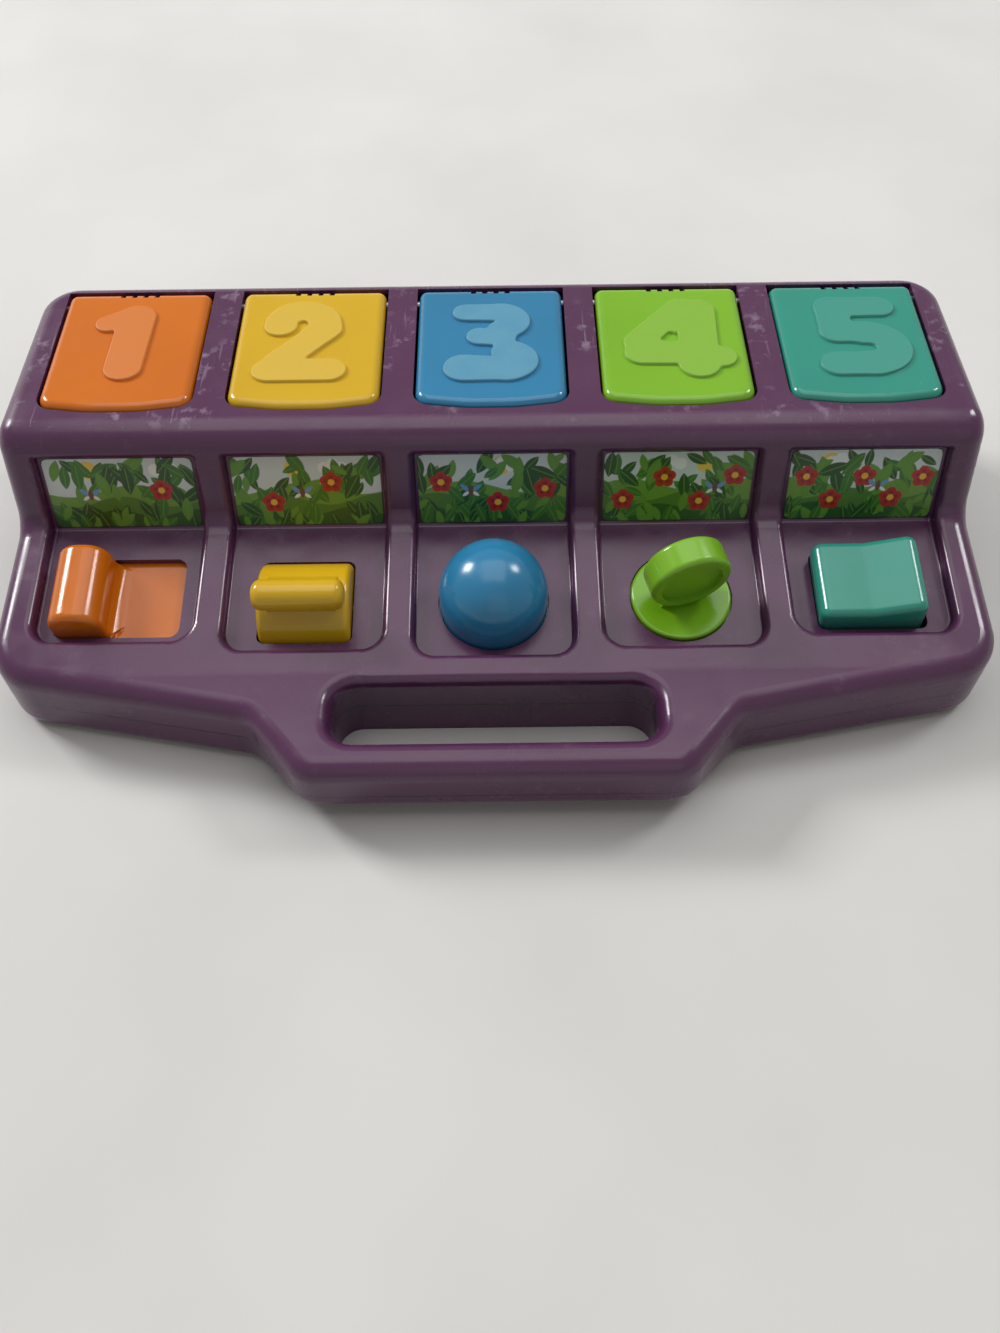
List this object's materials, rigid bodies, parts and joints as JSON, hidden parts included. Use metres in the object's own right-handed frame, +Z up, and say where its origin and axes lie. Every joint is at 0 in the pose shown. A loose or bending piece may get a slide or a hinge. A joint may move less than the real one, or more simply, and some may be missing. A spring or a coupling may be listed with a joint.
{
  "type": "pop up animal toy",
  "caption": "Moulded toy case with a row of hinged pop-up lids carrying animal heads, each released by its own slider, flip lever, button, dial or rocker, with a carry handle.",
  "frame": {"origin": "middle of the underside of the case", "axes": "+X to the right along the row of lids, +Y to the back, +Z up"},
  "size_m": [0.3594, 0.2, 0.0773],
  "materials": {
    "gloss_purple": "glossy moulded ABS",
    "gloss_orange": "glossy moulded ABS",
    "gloss_yellow": "glossy moulded ABS",
    "gloss_blue": "glossy moulded ABS",
    "gloss_green": "glossy moulded ABS",
    "gloss_teal": "glossy moulded ABS",
    "steel": "plated steel",
    "label_print": "printed film",
    "latch_plastic": "natural acetal",
    "figure_1_plastic": "moulded vinyl",
    "figure_2_plastic": "moulded vinyl",
    "figure_3_plastic": "moulded vinyl",
    "figure_4_plastic": "moulded vinyl",
    "figure_5_plastic": "moulded vinyl"
  },
  "bodies": {
    "case": {"top_case": "gloss_purple", "bottom_case": "gloss_purple", "case_screws": "steel", "button_spring": "steel", "label_1": "label_print", "hinge_pin_1": "steel", "lid_spring_1": "steel", "label_2": "label_print", "hinge_pin_2": "steel", "lid_spring_2": "steel", "label_3": "label_print", "hinge_pin_3": "steel", "lid_spring_3": "steel", "label_4": "label_print", "hinge_pin_4": "steel", "lid_spring_4": "steel", "label_5": "label_print", "hinge_pin_5": "steel", "lid_spring_5": "steel"},
    "lid_1": {"lid_1": "gloss_orange", "figure_1": "figure_1_plastic"},
    "latch_1": {"latch_1": "latch_plastic"},
    "lid_2": {"lid_2": "gloss_yellow", "figure_2": "figure_2_plastic"},
    "latch_2": {"latch_2": "latch_plastic"},
    "lid_3": {"lid_3": "gloss_blue", "figure_3": "figure_3_plastic"},
    "latch_3": {"latch_3": "latch_plastic"},
    "lid_4": {"lid_4": "gloss_green", "figure_4": "figure_4_plastic"},
    "latch_4": {"latch_4": "latch_plastic"},
    "lid_5": {"lid_5": "gloss_teal", "figure_5": "figure_5_plastic"},
    "latch_5": {"latch_5": "latch_plastic"},
    "slider": {"slider": "gloss_orange"},
    "flip_lever": {"flip_lever": "gloss_yellow"},
    "push_button": {"push_button": "gloss_blue"},
    "dial": {"dial": "gloss_green"},
    "rocker": {"rocker": "gloss_teal"}
  },
  "joints": [
    {"name": "lid_1_hinge", "type": "hinge", "parent": "case", "child": "lid_1", "pos_m": [-0.137, 0.088, 0.0725], "axis": [-1, 0, 0], "range_deg": [0, 95]},
    {"name": "lid_2_hinge", "type": "hinge", "parent": "case", "child": "lid_2", "pos_m": [-0.0685, 0.088, 0.0725], "axis": [-1, 0, 0], "range_deg": [0, 95]},
    {"name": "lid_3_hinge", "type": "hinge", "parent": "case", "child": "lid_3", "pos_m": [0, 0.088, 0.0725], "axis": [-1, 0, 0], "range_deg": [0, 95]},
    {"name": "lid_4_hinge", "type": "hinge", "parent": "case", "child": "lid_4", "pos_m": [0.0685, 0.088, 0.0725], "axis": [-1, 0, 0], "range_deg": [0, 95]},
    {"name": "lid_5_hinge", "type": "hinge", "parent": "case", "child": "lid_5", "pos_m": [0.137, 0.088, 0.0725], "axis": [-1, 0, 0], "range_deg": [0, 95]},
    {"name": "slider_slide", "type": "slide", "parent": "case", "child": "slider", "axis": [1, 0, 0], "range_m": [0, 0.02]},
    {"name": "flip_lever_hinge", "type": "hinge", "parent": "case", "child": "flip_lever", "pos_m": [-0.0685, -0.02609, 0.0246], "axis": [-1, 0, 0], "range_deg": [0, 35]},
    {"name": "push_button_slide", "type": "slide", "parent": "case", "child": "push_button", "axis": [0, 0.1513, -0.9885], "range_m": [0, 0.006], "stiffness_N_per_m": 300, "springref_m": -0.004, "deforming": ["button_spring"]},
    {"name": "dial_turn", "type": "hinge", "parent": "case", "child": "dial", "pos_m": [0.0685, -0.0265, 0.0306], "axis": [0, 0.1513, -0.9885], "range_deg": [0, 90]},
    {"name": "rocker_hinge", "type": "hinge", "parent": "case", "child": "rocker", "pos_m": [0.137, -0.0244, 0.02688], "axis": [0, 0.9885, 0.1513], "range_deg": [0, 16]},
    {"name": "latch_1_slide", "type": "slide", "parent": "case", "child": "latch_1", "axis": [0, -1, 0], "range_m": [0, 0.0026]},
    {"name": "latch_2_slide", "type": "slide", "parent": "case", "child": "latch_2", "axis": [0, -1, 0], "range_m": [0, 0.0026]},
    {"name": "latch_3_slide", "type": "slide", "parent": "case", "child": "latch_3", "axis": [0, -1, 0], "range_m": [0, 0.0026]},
    {"name": "latch_4_slide", "type": "slide", "parent": "case", "child": "latch_4", "axis": [0, -1, 0], "range_m": [0, 0.0026]},
    {"name": "latch_5_slide", "type": "slide", "parent": "case", "child": "latch_5", "axis": [0, -1, 0], "range_m": [0, 0.0026]}
  ],
  "couplings": [
    {"joint": "latch_1_slide", "follows": "slider_slide", "ratio": 0.13},
    {"joint": "latch_2_slide", "follows": "flip_lever_hinge", "m_per_rad": 0.0042558},
    {"joint": "latch_3_slide", "follows": "push_button_slide", "ratio": 0.43333},
    {"joint": "latch_4_slide", "follows": "dial_turn", "m_per_rad": 0.0016547},
    {"joint": "latch_5_slide", "follows": "rocker_hinge", "m_per_rad": 0.0093101}
  ]
}
